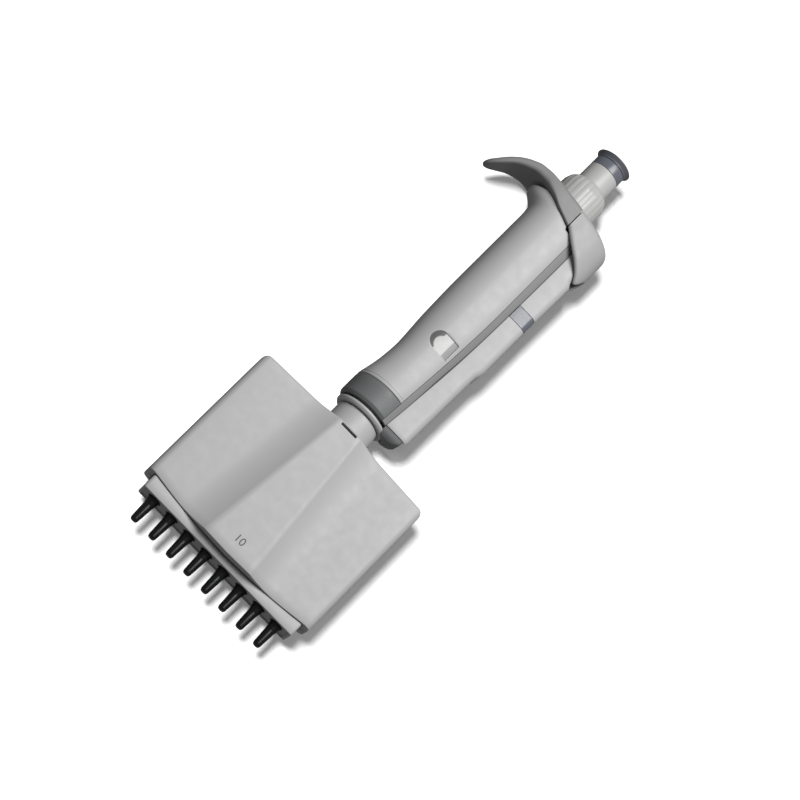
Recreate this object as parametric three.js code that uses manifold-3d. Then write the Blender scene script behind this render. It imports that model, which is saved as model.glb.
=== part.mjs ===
// Eight-channel hand pipette lying on its back: the cones point along -Y, the control button along +Y,
// the front of the tool faces +Z. Lengths are millimetres. All pieces are drawn with the tool's axis on
// the Y axis and the cone tips at y = 0, and one group then sets the tool down on the bench.
import * as THREE from 'three';
import { mergeVertices } from 'three/addons/utils/BufferGeometryUtils.js';
import Module from 'manifold-3d';

const wasm = await Module();
wasm.setup();

// ---- driving dimensions ----
const CHANNELS = 8;
const PITCH = 9; // centre distance of neighbouring wells on a 96-well plate
const OVERALL = 235.6; // cone tips to the top of the control button
const AXIS_HEIGHT = 12.8; // the tool's axis above the bench
const GAP = 0.3; // clearance between neighbouring pieces
const WALL = 1.8; // plastic wall

const COVER = {
  half: 41.2,
  wing: 7, // half thickness of the flat wings
  front: 11,
  rear: AXIS_HEIGHT,
  bottom: 13.6, // lower edge at the middle
  ends: 16.6, // lower edge at both ends
  top: 80.4,
  sides: 79,
  corner: 2.6,
  mouth: 38.2, // half width of the opening in the lower edge
};
const CREASE = { low: 11.2, lowY: 16.5, high: 5.4, highY: 78, rise: 12 }; // edges of the raised centre panel
const BAR = { half: 37.9, depth: 6.3, y: 10.5 };
const BLOCK = { half: 33.6, depth: 4.9, low: 17.5, high: 42, gland: 38.4 };
const CONE = { radius: 2.7, top: 22.5, socket: 26 };
const PISTON = { radius: 0.6, low: 38.5, head: 1.8, headLow: 51 };
const CARRIAGE = { half: 33.4, low: 55, high: 58.5, depth: 3, hub: 4.6, hubTop: 60 };
const YOKE = { low: 68.5, high: 71.5, half: 36.3 };
const SLEEVE = { inner: 7.9, outer: 9.4, low: 71.8, high: 88, slot: 79.7 };
const LUG = { half: 3.4, low: 71.8, high: 73.1 };
const NECK = { radius: 7.6, bore: 5.2, low: 60.5, high: 101.9 };
const RING = { inner: 8.2, outer: 11.4, low: 88.3, high: 90 };
const BAND = { radius: 12.5, inner: 10.9, low: 91, high: 100.6 };
const RAIL = { low: 91.2, high: 196, bevel: 1.6 };
const SHELF = { inner: 10, outer: 17.5, low: 147.5, high: 150, half: 3.5 }; // seat of the ejector spring
const WINDOW = { left: 0.3, right: 7, y: 129.35, radius: 3.95 }; // left is the centre of its round end
const BEZEL = { half: 5.2, low: 158, high: 188, depth: 12.3 };
const DISPLAY = { half: 3.3, low: 162, high: 184 };
const KNOB = { radius: 9.9, bore: 7, low: 200.8, shoulder: 216, high: 220.4 };
const STEM = { radius: 6.7, low: 215.5, high: 228.6 }; // the control button
const FRAME = { bore: 4, radius: 5, low: 128.6, high: 196, lowFlange: 6.8, highFlange: 9 };
const CAP = { radius: 7.85, low: 233, rim: 234.8 };
const SPINDLE = { bore: 2.6, radius: 3.6, low: 150, high: 200.5 };
const PLUNGER = { radius: 2, low: 60.3, high: 225.9 };
const WHEEL = { bore: 5.3, radius: 8.8, low: 163.5, height: 4.6, step: 5 };
const ROD = { depth: 8.2, corner: 3.2, wall: 1.7, low: 91.9, high: 196 };
const ROD_SLANT = { front: 7, back: -9, rise: 6.4 }; // its lower end rises towards the rear
const ROD_BAND = { low: 157, high: 163, thickness: 0.5 };
const COLLAR_DEPTH = 12.8; // half depth of the hook's collar and the ejector button
const SEAM_X = 3.4; // where the hook's collar meets the ejector button
const SHELL_TOP = 196.6; // top of the handle shells under the ejector button
const SHELL_BROW = 203.9; // and under the hook

// ---- solids ----
function toSolid(source) {
  const geometry = source.clone();
  geometry.deleteAttribute('normal');
  geometry.deleteAttribute('uv');
  const merged = mergeVertices(geometry, 1e-4);
  const index = merged.index.array;
  const place = merged.attributes.position.array;
  const triangles = [];
  for (let i = 0; i < index.length; i += 3) {
    const [a, b, c] = [index[i], index[i + 1], index[i + 2]];
    if (a !== b && b !== c && c !== a) triangles.push(a, b, c);
  }
  if (signedVolume(place, triangles) < 0) triangles.reverse();
  const mesh = new wasm.Mesh({
    numProp: 3,
    vertProperties: new Float32Array(place),
    triVerts: new Uint32Array(triangles),
  });
  return new wasm.Manifold(mesh);
}

function signedVolume(place, triangles) {
  const corner = [new THREE.Vector3(), new THREE.Vector3(), new THREE.Vector3()];
  let sum = 0;
  for (let i = 0; i < triangles.length; i += 3) {
    corner.forEach((v, k) => v.fromArray(place, 3 * triangles[i + k]));
    sum += corner[0].dot(corner[1].clone().cross(corner[2])) / 6;
  }
  return sum;
}

function toGeometry(solid) {
  const mesh = solid.getMesh();
  const geometry = new THREE.BufferGeometry();
  geometry.setAttribute('position', new THREE.BufferAttribute(new Float32Array(mesh.vertProperties), 3));
  geometry.setIndex(new THREE.BufferAttribute(new Uint32Array(mesh.triVerts), 1));
  geometry.computeVertexNormals();
  return geometry;
}

function box([x0, x1], [y0, y1], [z0, z1]) {
  const geometry = new THREE.BoxGeometry(x1 - x0, y1 - y0, z1 - z0);
  return toSolid(geometry.translate((x0 + x1) / 2, (y0 + y1) / 2, (z0 + z1) / 2));
}

// a turned piece about the tool's axis, or about a parallel axis at x, from [radius, y] points
function turned(profile, segments = 20, x = 0) {
  const points = profile.map(([r, y]) => new THREE.Vector2(r, y));
  return toSolid(new THREE.LatheGeometry(points, segments).translate(x, 0, 0));
}

function rod(radius, y0, y1, segments = 20, x = 0) {
  return turned([[0, y0], [radius, y0], [radius, y1], [0, y1]], segments, x);
}

function tube(inner, outer, y0, y1, segments = 20) {
  return turned([[inner, y0], [outer, y0], [outer, y1], [inner, y1], [inner, y0]], segments);
}

// a round pin along Z
function pin(radius, x, y, z0, z1) {
  const geometry = new THREE.CylinderGeometry(radius, radius, z1 - z0, 16);
  return toSolid(geometry.rotateX(Math.PI / 2).translate(x, y, (z0 + z1) / 2));
}

// an outline in X and Y, thick along Z
function plate(outline, z0, z1) {
  const shape = new THREE.Shape(outline.map(([x, y]) => new THREE.Vector2(x, y)));
  const geometry = new THREE.ExtrudeGeometry(shape, { depth: z1 - z0, bevelEnabled: false, curveSegments: 8 });
  return toSolid(geometry.translate(0, 0, z0));
}

// rings of equal point count joined in order, with both ends closed
function loft(rings) {
  const count = rings[0].length;
  const place = rings.flat().flatMap((p) => [p.x, p.y, p.z]);
  const index = [];
  for (let r = 0; r + 1 < rings.length; r++) {
    for (let i = 0; i < count; i++) {
      const a = r * count + i;
      const b = r * count + ((i + 1) % count);
      index.push(a, b, b + count, a, b + count, a + count);
    }
  }
  [0, rings.length - 1].forEach((r) => {
    const centre = rings[r].reduce((sum, p) => sum.add(p), new THREE.Vector3()).divideScalar(count);
    const hub = place.length / 3;
    place.push(centre.x, centre.y, centre.z);
    for (let i = 0; i < count; i++) {
      const a = r * count + i;
      const b = r * count + ((i + 1) % count);
      if (r === 0) index.push(hub, b, a);
      else index.push(hub, a, b);
    }
  });
  const geometry = new THREE.BufferGeometry();
  geometry.setAttribute('position', new THREE.Float32BufferAttribute(place, 3));
  geometry.setIndex(index);
  return toSolid(geometry);
}

// straight-line value at t of a table of [t, value] rows
function along(table, t) {
  const last = table.length - 1;
  if (t <= table[0][0]) return table[0][1];
  if (t >= table[last][0]) return table[last][1];
  const k = table.findIndex((row) => row[0] >= t);
  const [t0, v0] = table[k - 1];
  const [t1, v1] = table[k];
  return v0 + ((v1 - v0) * (t - t0)) / (t1 - t0);
}

const channelX = (n) => (n - (CHANNELS - 1) / 2) * PITCH;
const channels = [...Array(CHANNELS).keys()];

// ---- manifold ----
// one quadrant of the covers' section, from the middle out to the end wall
function coverQuarter(y, depth, inset) {
  const slope = (CREASE.high - CREASE.low) / (CREASE.highY - CREASE.lowY);
  const crease = CREASE.low + (y - CREASE.lowY) * slope - inset / 3;
  const foot = crease + CREASE.rise;
  const wing = COVER.wing - inset;
  const half = COVER.half - inset;
  const corner = COVER.corner - inset / 2;
  const points = [[0, depth - inset]];
  for (let k = 0; k <= 4; k++) {
    const t = 1 - k / 4;
    points.push([foot - t * CREASE.rise, wing + (depth - inset - wing) * t * t]);
  }
  for (let k = 0; k <= 3; k++) {
    const a = (Math.PI / 2) * (1 - k / 3);
    points.push([half - corner + corner * Math.cos(a), wing - corner + corner * Math.sin(a)]);
  }
  return points;
}

function coverRing(y, inset) {
  const front = coverQuarter(y, COVER.front, inset);
  const rear = coverQuarter(y, COVER.rear, inset);
  const ring = [
    ...front,
    ...rear.map(([x, z]) => [x, -z]).reverse(),
    ...rear.slice(1).map(([x, z]) => [-x, -z]),
    ...front.slice(1).map(([x, z]) => [-x, z]).reverse(),
  ];
  return ring.map(([x, z]) => new THREE.Vector3(x, y, z));
}

// the curved lower edge of the covers
function coverEdge(offset) {
  const points = [];
  for (let k = -8; k <= 8; k++) {
    const x = (k / 8) * (COVER.half + 1);
    const t = Math.min(1, Math.abs(x) / BAR.half);
    points.push([x, COVER.bottom + (COVER.ends - COVER.bottom) * (0.35 * t + 0.65 * t * t) + offset]);
  }
  return points;
}

function coverOutline(inset) {
  const half = COVER.half + 1;
  const side = COVER.half - inset;
  const top = [
    [half, COVER.sides - 3 - inset],
    [side, COVER.sides - 1.5 - inset],
    [side - 0.8, COVER.sides - inset],
    [10, COVER.top - inset],
    [-10, COVER.top - inset],
    [0.8 - side, COVER.sides - inset],
    [-side, COVER.sides - 1.5 - inset],
    [-half, COVER.sides - 3 - inset],
  ];
  return [...coverEdge(inset), ...top];
}

function covers() {
  const outer = loft([coverRing(8, 0), coverRing(84, 0)]).intersect(plate(coverOutline(0), -20, 20));
  const mouth = box([-COVER.mouth, COVER.mouth], [0, COVER.ends + WALL], [WALL - COVER.wing, COVER.wing - WALL]);
  const inner = loft([coverRing(8, WALL), coverRing(84, WALL)])
    .intersect(plate(coverOutline(WALL), -20, 20))
    .add(mouth);
  const pocket = box([-LUG.half - GAP, LUG.half + GAP], [LUG.low - GAP, LUG.high + GAP], [-11.6, 10.3]);
  const slot = box([-3.8, 3.8], [78.5, 79.6], [-14, 14]);
  return outer.subtract(inner).subtract(rod(SLEEVE.outer + GAP, 61, 84, 32)).subtract(pocket).subtract(slot);
}

const SCREWS = [['left', -27], ['right', 27]];
const SCREW_Y = 36;

function manifoldCoverFront() {
  return covers().intersect(box([-50, 50], [0, 90], [GAP / 2, 20]));
}

function manifoldCoverRear() {
  let cover = covers().intersect(box([-50, 50], [0, 90], [-20, -GAP / 2]));
  SCREWS.forEach(([, x]) => {
    cover = cover.subtract(pin(1.5, x, SCREW_Y, -9, -4)).subtract(pin(2.5, x, SCREW_Y, -9, -5.9));
  });
  return cover;
}

function coverScrew(x) {
  const head = pin(2.2, x, SCREW_Y, -6.9, -6.2);
  const slot = box([x - 3, x + 3], [SCREW_Y - 0.3, SCREW_Y + 0.3], [-7.5, -6.6]);
  return head.add(pin(1.2, x, SCREW_Y, -6.4, -1)).subtract(slot);
}

function cylinderBlock() {
  let block = box([-BLOCK.half, BLOCK.half], [BLOCK.low, BLOCK.high], [-BLOCK.depth, BLOCK.depth]);
  channels.forEach((n) => {
    const x = channelX(n);
    block = block
      .subtract(rod(CONE.radius + GAP, BLOCK.low - 1, CONE.socket, 12, x))
      .subtract(rod(PISTON.radius + 0.4, CONE.socket - 1, BLOCK.high + 1, 8, x))
      .subtract(rod(PISTON.head + 0.4, BLOCK.gland, BLOCK.high + 1, 12, x));
  });
  SCREWS.forEach(([, x]) => {
    block = block.subtract(pin(1.5, x, SCREW_Y, -6, -0.6));
  });
  return block;
}

// the fixed tube that carries the manifold in the handle, keyed to both covers by a lug
function neckTube() {
  const flange = tube(NECK.bore, 9, 99.2, 101.2);
  const lugs = box([-LUG.half, LUG.half], [LUG.low, LUG.high], [-11.3, 10]);
  return tube(NECK.bore, NECK.radius, NECK.low, NECK.high)
    .add(flange)
    .add(lugs)
    .subtract(rod(NECK.bore, NECK.low - 1, NECK.high + 1));
}

// ---- tip cones, pistons and their carriage ----
function cone(n) {
  const { radius, top } = CONE;
  const profile = [[0, 0], [1.1, 0], [1.6, 0.6], [2.05, 8], [radius, 11.6], [radius, top], [0, top]];
  return turned(profile, 12, channelX(n));
}

function piston(n) {
  const { radius, low, head, headLow } = PISTON;
  const top = CARRIAGE.low - GAP;
  const profile = [[0, low], [radius, low], [radius, headLow - 0.5], [head, headLow], [head, top], [0, top]];
  return turned(profile, 10, channelX(n));
}

function pistonBar() {
  const { half, low, high, depth, hub, hubTop } = CARRIAGE;
  return box([-half, half], [low, high], [-depth, depth]).add(rod(hub, low, hubTop));
}

// ---- tip stripper ----
function stripperBar() {
  const top = COVER.ends - GAP;
  const lift = [...coverEdge(-GAP), [60, 40], [-60, 40]];
  let bar = box([-BAR.half, BAR.half], [BAR.y, top], [-BAR.depth, BAR.depth])
    .subtract(plate(lift, -10, 10))
    .subtract(box([1.4 - BAR.half, BAR.half - 1.4], [0, BAR.y + 0.6], [-4.9, 4.9]))
    .subtract(box([1.2 - BAR.half, BAR.half - 1.2], [BAR.y + 2.1, 20], [-5.1, 5.1]));
  channels.forEach((n) => {
    bar = bar.subtract(rod(3, 0, 20, 12, channelX(n)));
  });
  return bar;
}

function stripperFrame() {
  let frame = box([-YOKE.half, YOKE.half], [YOKE.low, YOKE.high], [-4.6, 4.6])
    .add(rod(9.3, YOKE.low, YOKE.high))
    .subtract(rod(SLEEVE.inner, YOKE.low - 1, YOKE.high + 1));
  [-1, 1].forEach((side) => {
    const span = [side * (YOKE.half - 2), side * YOKE.half].sort((a, b) => a - b);
    frame = frame.add(box(span, [BAR.y + 2.4, YOKE.high], [-2.4, 2.4]));
  });
  return frame;
}

// the visible neck: it slides down into the covers, and its two slots clear the neck tube's lugs
function stripperSleeve() {
  return tube(SLEEVE.inner, SLEEVE.outer, SLEEVE.low, SLEEVE.high, 32)
    .subtract(box([-LUG.half - 0.4, LUG.half + 0.4], [60, SLEEVE.slot], [-12, 12]));
}

// ---- handle ----
const SHELL_LEFT = [[100, 12.4], [101, 12.4], [104, 11.9], [108, 11.1], [114, 10.35], [120, 10], [128, 10.4],
  [136, 10.9], [156, 11.35], [193, 11.4], [196.2, 11.6], [198.2, 12.1], [199.5, 13.2], [200.5, 14.7],
  [201.7, 16.2], [203.2, 16.8], [206, 16.9]];
const SHELL_DEPTH = [[100, 12.3], [101, 12.3], [104, 11.8], [108, 11], [114, 10.35], [120, 10], [128, 10.3],
  [136, 10.8], [156, 11.3], [176, 11.4], [206, 11.4]];
const RAIL_INNER = [[90, 6.1], [101, 6.8], [132, 8.8], [152, 9.4], [200, 9.4]];
const RAIL_OUTER = [[90, 7.9], [101, 8.9], [133, 11.1], [153, 11.7], [190, 12.1], [200, 12.1]];
const RAIL_DEPTH = [[90, 10.6], [101, 10.3], [112, 8.9], [120, 8.3], [135, 9], [152, 9.5], [200, 9.5]];

function shellRing(y, inset) {
  const left = along(SHELL_LEFT, y) - inset;
  const right = along(RAIL_INNER, y) / 0.7 - inset;
  const depth = along(SHELL_DEPTH, y) - inset;
  const ring = [];
  for (let k = 0; k < 32; k++) {
    const a = (k / 32) * 2 * Math.PI;
    const power = Math.cos(a) > 0 ? 2 / 2.6 : 1;
    const width = Math.cos(a) > 0 ? right : left;
    const x = Math.sign(Math.cos(a)) * width * Math.abs(Math.cos(a)) ** power;
    const z = Math.sign(Math.sin(a)) * depth * Math.abs(Math.sin(a)) ** power;
    ring.push(new THREE.Vector3(x, y, z));
  }
  return ring;
}

// the lower edge of the hook and its collar, which is also the top edge of the handle shells
const HOOK_BELOW = [[-35.9, 196.2], [-35, 196], [-33.5, 197.2], [-30, 200.2], [-26.5, 203.1], [-22.8, 204.8],
  [-19, 205.7], [-15, 205.4], [-11.5, 204.3], [-7.6, 202.7], [-3.9, 200.8], [0, 199.3], [SEAM_X, 198]];
const HOOK_ABOVE = [[-35.9, 197.4], [-35, 198.7], [-33.5, 200.2], [-30, 204], [-26.5, 206.8], [-22.8, 208.8],
  [-19, 210], [-15, 210.1], [-11.5, 209.6], [-7.6, 209], [-3.9, 208.4], [0, 208], [SEAM_X, 207.4]];
const HOOK_HALF = [[-35.9, 0.8], [-35, 3.2], [-33.5, 5], [-30, 7], [-26.5, 8.3], [-22.8, 9.3], [-19, 10.2],
  [-15, 11.1], [-11.5, 12], [-7.6, 12.6], [-3.9, COLLAR_DEPTH], [0, COLLAR_DEPTH], [SEAM_X, COLLAR_DEPTH]];

function handleShells() {
  const heights = SHELL_LEFT.map(([y]) => y).filter((y) => y > 100);
  const outer = loft([BAND.high + GAP, ...heights].map((y) => shellRing(y, 0)));
  const inner = loft([99, ...heights].map((y) => shellRing(y, WALL)));
  const railEdge = [90, 101, 132, 152, 210].map((y) => [along(RAIL_INNER, y) - GAP, y]);
  const railSide = [[60, 90], ...railEdge, [60, 210]];
  const brow = HOOK_BELOW.map(([x, y]) => [x, Math.min(y - GAP, SHELL_BROW)]);
  const above = [...brow, [SEAM_X - GAP, SHELL_TOP], [60, SHELL_TOP],
    [60, 230], [-60, 230], [-60, 196]];
  const bezel = box([-BEZEL.half, BEZEL.half], [BEZEL.low, BEZEL.high], [-BEZEL.depth, -8]);
  return outer
    .add(bezel)
    .subtract(inner)
    .subtract(plate(railSide, -20, 20))
    .subtract(plate(above, -20, 20));
}

// the adjustment window: straight on the right, round on the left
function windowOutline(inset) {
  const radius = WINDOW.radius - inset;
  const right = WINDOW.right - inset;
  const points = [[right, WINDOW.y - radius], [right, WINDOW.y + radius]];
  for (let k = 0; k <= 8; k++) {
    const a = Math.PI / 2 + (k / 8) * Math.PI;
    points.push([WINDOW.left + radius * Math.cos(a), WINDOW.y + radius * Math.sin(a)]);
  }
  return points;
}

function handleShellFront() {
  return handleShells()
    .intersect(box([-60, 60], [90, 220], [GAP / 2, 20]))
    .subtract(plate(windowOutline(0), 0, 20));
}

function handleShellRear() {
  return handleShells()
    .intersect(box([-60, 60], [90, 220], [-20, -GAP / 2]))
    .subtract(box([-DISPLAY.half, DISPLAY.half], [DISPLAY.low, DISPLAY.high], [-20, -5]));
}

function lowerBand() {
  const side = [[along(RAIL_INNER, 90) - GAP, 85], [along(RAIL_INNER, 101) - GAP, 101], [60, 101], [60, 85]];
  const { radius, inner, low, high } = BAND;
  const profile = [[inner, low], [radius - 0.9, low], [radius, low + 1.8], [radius, high - 1.2],
    [radius - 0.2, high], [inner, high], [inner, low]];
  return turned(profile, 36).subtract(plate(side, -20, 20));
}

// the plate that closes the handle's right side and guides the ejector rod, with a shelf for its spring
function sideRail() {
  const rings = [RAIL.low, 101, 112, 120, 133, 153, RAIL.high].map((y) => {
    const inner = along(RAIL_INNER, y);
    const outer = along(RAIL_OUTER, y);
    const depth = along(RAIL_DEPTH, y);
    const edge = depth - RAIL.bevel;
    return [[inner, depth], [outer, edge], [outer, -edge], [inner, -depth]]
      .map(([x, z]) => new THREE.Vector3(x, y, z));
  });
  return loft(rings)
    .subtract(rod(11, 80, 105, 32))
    .add(box([SHELF.inner, SHELF.outer], [SHELF.low, SHELF.high], [-SHELF.half, SHELF.half]));
}

function fingerHook() {
  const rings = HOOK_BELOW.map(([x, low]) => {
    const high = along(HOOK_ABOVE, x);
    const half = along(HOOK_HALF, x);
    const ring = [];
    for (let k = 0; k < 16; k++) {
      const a = ((k + 0.5) / 16) * 2 * Math.PI;
      const z = Math.sign(Math.cos(a)) * half * Math.abs(Math.cos(a)) ** 0.4;
      const y = (low + high) / 2 + Math.sign(Math.sin(a)) * ((high - low) / 2) * Math.abs(Math.sin(a)) ** 0.4;
      ring.push(new THREE.Vector3(x, y, z));
    }
    return ring;
  });
  return loft(rings).subtract(rod(KNOB.radius + 0.35, 190, 220, 36));
}

function windowLens() {
  return plate(windowOutline(GAP), 8.4, 9.1);
}

function adjustPlate() {
  return box([-3.6, 5.4], [125, 133.8], [7, 7.5]);
}

function displayLens() {
  const half = DISPLAY.half - GAP;
  return box([-half, half], [DISPLAY.low + GAP, DISPLAY.high - GAP], [-12, -11.2]);
}

// the tube that carries the counter wheels, with a flange in the shells at each end
function innerFrame() {
  const { bore, radius, low, high, lowFlange, highFlange } = FRAME;
  return turned([[bore, low], [lowFlange, low], [lowFlange, low + 2.4], [radius, low + 3], [radius, high - 4],
    [highFlange, high - 3.5], [highFlange, high], [bore, high], [bore, low]]);
}

function springSeat() {
  return tube(2.6, 9.4, 102.2, 104.6);
}

function unionNut() {
  return tube(SLEEVE.inner, 10.6, 92.5, 98.9);
}

// ---- volume dial, counter and plunger ----
function dialRing() {
  const { radius, bore, low, shoulder, high } = KNOB;
  return turned([[3, low], [9, low], [9, 205.5], [radius, 206], [radius, shoulder], [9.55, 217.9], [8.9, 219.1],
    [7.6, high], [bore, high], [bore, 203.2], [3, 203.2], [3, low]], 32);
}

function spindle() {
  const { bore, radius, low, high } = SPINDLE;
  const flange = high - 2.5;
  return turned([[bore, low], [radius, low], [radius, flange], [6, flange], [6, high], [bore, high],
    [bore, low]]);
}

function counterWheel(n) {
  const low = WHEEL.low + WHEEL.step * n;
  return tube(WHEEL.bore, WHEEL.radius, low, low + WHEEL.height);
}

function buttonStem() {
  const { radius, low, high } = STEM;
  return turned([[5.2, low], [radius, low], [radius, high], [3, high], [3, high - 2.4], [5.2, high - 2.4],
    [5.2, low]]);
}

function buttonBand() {
  return tube(3, STEM.radius, STEM.high + GAP, CAP.low - GAP);
}

function buttonCap() {
  const peg = STEM.high + GAP;
  const { radius, low, rim } = CAP;
  return turned([[0, peg], [2.7, peg], [2.7, low], [STEM.radius, low], [radius, rim], [radius, rim + 0.3],
    [radius - 0.75, OVERALL], [0, OVERALL]]);
}

function plungerRod() {
  const { radius, low, high } = PLUNGER;
  return turned([[0, low], [radius, low], [radius, 126], [6.8, 126], [6.8, 128.3], [radius, 128.3],
    [radius, high], [0, high]], 16);
}

class Helix extends THREE.Curve {
  constructor(radius, turns, x, y0, y1) {
    super();
    Object.assign(this, { radius, turns, x, y0, y1 });
  }

  getPoint(t, target = new THREE.Vector3()) {
    const a = t * this.turns * 2 * Math.PI;
    const y = this.y0 + (this.y1 - this.y0) * t;
    return target.set(this.x + this.radius * Math.cos(a), y, this.radius * Math.sin(a));
  }
}

function coilSpring(radius, wire, turns, x, y0, y1) {
  const section = new THREE.Shape();
  section.absarc(0, 0, wire, 0, 2 * Math.PI);
  const extrudePath = new Helix(radius, turns, x, y0 + wire, y1 - wire);
  return toSolid(new THREE.ExtrudeGeometry(section, { extrudePath, steps: turns * 9, curveSegments: 3 }));
}

// ---- ejector ----
const ROD_RIGHT = [[90, 19], [128, 19.6], [131, 19.9], [134, 20.7], [157, 20.8], [183.6, 21.2], [184.6, 20.2],
  [196, 20.2]];

function rodRing(y, inset) {
  const left = along(RAIL_OUTER, y) + GAP;
  const right = along(ROD_RIGHT, y) - inset;
  const depth = ROD.depth - inset;
  const corner = ROD.corner - inset / 2;
  const arc = (k) => {
    const a = (Math.PI / 2) * (1 - k / 4);
    return [right - corner + corner * Math.cos(a), depth - corner + corner * Math.sin(a)];
  };
  const front = [[left - (inset ? 2 : 0), depth], ...[0, 1, 2, 3, 4].map(arc)];
  const ring = [...front, ...front.map(([x, z]) => [x, -z]).reverse()];
  return ring.map(([x, z]) => new THREE.Vector3(x, y, z));
}

const rodBody = (inset, heights) => loft(heights.map((y) => rodRing(y, inset)));

function ejectorRod() {
  const heights = ROD_RIGHT.map(([y]) => y).filter((y) => y > ROD.low && y < ROD.high);
  const outer = rodBody(0, [ROD.low, ...heights, ROD.high]);
  const inner = rodBody(ROD.wall, [ROD.low + 2, ...heights, ROD.high - 2]);
  const { low, high, thickness } = ROD_BAND;
  const groove = rodBody(-1, [low - GAP, high + GAP]).subtract(rodBody(thickness + GAP, [low - 1, high + 1]));
  const { front, back, rise } = ROD_SLANT;
  const below = [[front, 80], [front, ROD.low], [back, ROD.low + rise], [back, 80]];
  const slant = plate(below, -30, 0).rotate([0, -90, 0]);
  return outer.subtract(inner).subtract(rod(11.2, 80, 105, 32)).subtract(groove).subtract(slant);
}

function rodBand() {
  const { low, high, thickness } = ROD_BAND;
  return rodBody(0, [low, high]).subtract(rodBody(thickness, [low - 1, high + 1]));
}

// the dark heel under the rod: [y, right edge, front, back, radius of the right corner at the back]
const FOOT = [[87.8, 12.4, 5, -0.5, 2.5], [88.5, 15, 6.6, -2.4, 5], [90, 16.9, 7.8, -4, 6],
  [91.6, 17.4, 8.2, -4.5, 6.5]];
const FOOT_INNER = 8.4;

function footRing([y, right, front, back, corner]) {
  const shape = new THREE.Shape([new THREE.Vector2(FOOT_INNER, back), new THREE.Vector2(right - corner, back)]);
  shape.quadraticCurveTo(right, back, right, back + corner);
  shape.lineTo(right, front - 1.2);
  shape.quadraticCurveTo(right, front, right - 1.2, front);
  shape.lineTo(FOOT_INNER, front);
  return shape.getPoints(5).map((p) => new THREE.Vector3(p.x, y, p.y));
}

function ejectorFoot() {
  return loft(FOOT.map(footRing)).subtract(rod(RING.outer + GAP, 80, RING.high + GAP, 36));
}

function ejectorRing() {
  const { inner, outer, low, high } = RING;
  return turned([[inner, low], [outer - 0.8, low], [outer, low + 0.8], [outer, high], [inner, high],
    [inner, low]], 32);
}

const BUTTON_HALF = [[SEAM_X, COLLAR_DEPTH], [8, 12.7], [12, 12.2], [16, 11.2], [20, 9.3], [22.3, 7], [23.6, 4],
  [24, 1.5]];
const BUTTON_ABOVE = [[SEAM_X, 207.3], [8, 206.6], [12, 206], [16, 205.4], [20, 204.4], [23, 203.5], [25, 202.6]];
const BUTTON_BELOW = [[22.9, 187.2], [21.4, 184.8], [19.2, 186.9], [15.1, 190.2], [11.3, 192.7], [7.5, 195.2],
  [4.4, 197.8], [0, 201.2]];

// the thumb button's body in plan, closed at its right end
function buttonPlan(inset) {
  const edge = BUTTON_HALF.map(([x, z]) => [x > 20 ? x - inset : x, z - inset]).filter(([, z]) => z > 0);
  const left = [[SEAM_X + GAP - (inset ? 4 : 0), COLLAR_DEPTH - inset]];
  const front = [...left, ...edge.slice(1)];
  const ring = [...front, ...front.map(([x, z]) => [x, -z]).reverse()];
  return loft([180, 215].map((y) => ring.map(([x, z]) => new THREE.Vector3(x, y, z))));
}

function ejectorButton() {
  const profile = [...BUTTON_ABOVE, [25, 190.5], [23.8, 190], ...BUTTON_BELOW];
  const hollow = [...BUTTON_ABOVE.map(([x, y]) => [x, y - 2]), [40, 202], [40, 170], [0, 170], [0, 205.5]];
  return buttonPlan(0)
    .intersect(plate(profile, -20, 20))
    .subtract(buttonPlan(1.3).intersect(plate(hollow, -20, 20)))
    .subtract(rod(KNOB.radius + 0.6, 190, 220, 36));
}

// ---- materials ----
const paint = (color, roughness, metalness = 0) => ({ color, roughness, metalness });
const PALE = paint(0xc9cacb, 0.55);
const GREY = paint(0x98999b, 0.6);
const DARK = paint(0x5d6062, 0.65);
const BLUE = paint(0x7f8898, 0.5);
const WHITE = paint(0xd8d8d6, 0.5);
const BLACK = paint(0x121313, 0.25);
const STEEL = paint(0xb9bcc0, 0.3, 1);
const CLEAR = paint(0xdfe6ea, 0.1);

const tool = new THREE.Group();

function put(name, solid, finish) {
  const mesh = new THREE.Mesh(toGeometry(solid), new THREE.MeshStandardMaterial(finish));
  mesh.name = name;
  tool.add(mesh);
}

put('manifold_cover_front', manifoldCoverFront(), PALE);
put('manifold_cover_rear', manifoldCoverRear(), PALE);
put('cylinder_block', cylinderBlock(), WHITE);
put('neck_tube', neckTube(), WHITE);
SCREWS.forEach(([side, x]) => put(`cover_screw_${side}`, coverScrew(x), STEEL));
channels.forEach((n) => put(`tip_cone_${n + 1}`, cone(n), BLACK));
channels.forEach((n) => put(`piston_${n + 1}`, piston(n), STEEL));
put('piston_bar', pistonBar(), WHITE);
put('stripper_bar', stripperBar(), PALE);
put('stripper_frame', stripperFrame(), WHITE);
put('stripper_sleeve', stripperSleeve(), PALE);
put('handle_shell_front', handleShellFront(), PALE);
put('handle_shell_rear', handleShellRear(), PALE);
put('lower_band', lowerBand(), DARK);
put('side_rail', sideRail(), GREY);
put('finger_hook', fingerHook(), GREY);
put('window_lens', windowLens(), CLEAR);
put('adjust_plate', adjustPlate(), GREY);
put('display_lens', displayLens(), CLEAR);
put('inner_frame', innerFrame(), WHITE);
put('spring_seat', springSeat(), WHITE);
put('union_nut', unionNut(), GREY);
put('dial_ring', dialRing(), WHITE);
put('spindle', spindle(), STEEL);
for (let n = 0; n < 4; n++) put(`counter_wheel_${n + 1}`, counterWheel(n), BLACK);
put('button_stem', buttonStem(), WHITE);
put('button_band', buttonBand(), BLUE);
put('button_cap', buttonCap(), BLUE);
put('plunger_rod', plungerRod(), STEEL);
put('primary_spring', coilSpring(3.6, 0.45, 6, 0, 104.9, 125.7), STEEL);
put('blowout_spring', coilSpring(6, 0.6, 4, 0, 104.9, 116.7), STEEL);
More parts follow.
